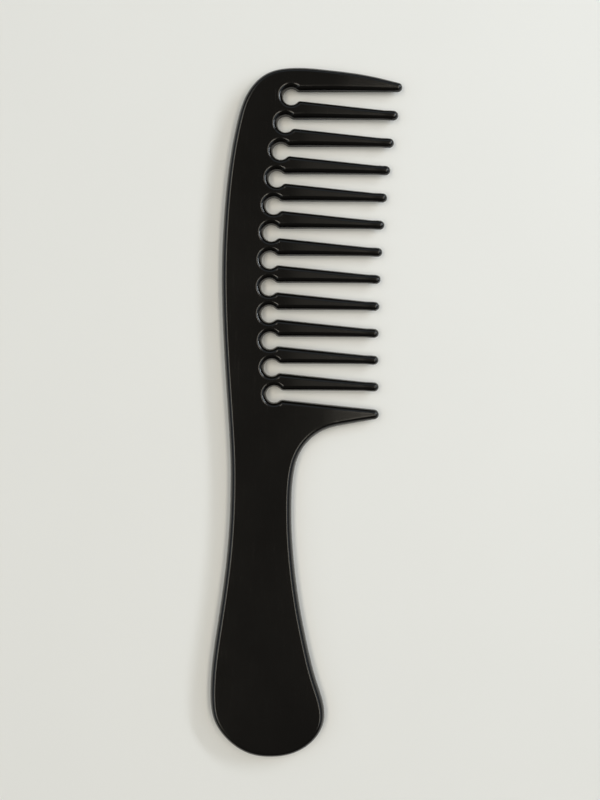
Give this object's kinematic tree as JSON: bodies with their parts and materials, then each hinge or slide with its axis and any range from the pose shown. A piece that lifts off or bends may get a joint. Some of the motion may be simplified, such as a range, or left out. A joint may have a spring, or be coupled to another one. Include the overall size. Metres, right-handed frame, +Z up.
{
  "type": "wide tooth comb",
  "caption": "Flat one-piece detangling comb with a curved back, tapered round-tipped teeth on round root holes, thicker guard teeth, and a waisted handle with a rounded butt.",
  "frame": {"origin": "under the middle of the comb, on the plane that it lies on (bottom centre of its bounding box)", "axes": "+X across the comb from its back to the tips of its teeth; +Y along it from the butt of the handle to the crown; +Z up, through its thickness"},
  "size_m": [0.0613, 0.22, 0.0052],
  "materials": {
    "comb_plastic": "black injection-moulded plastic, satin gloss, polished by the mould, with faint handling scratches"
  },
  "bodies": {
    "root": {"handle": "comb_plastic", "spine": "comb_plastic", "crown_guard_tooth": "comb_plastic", "tooth_02": "comb_plastic", "tooth_03": "comb_plastic", "tooth_04": "comb_plastic", "tooth_05": "comb_plastic", "tooth_06": "comb_plastic", "tooth_07": "comb_plastic", "tooth_08": "comb_plastic", "tooth_09": "comb_plastic", "tooth_10": "comb_plastic", "tooth_11": "comb_plastic", "tooth_12": "comb_plastic", "heel_guard_tooth": "comb_plastic"}
  },
  "joints": []
}
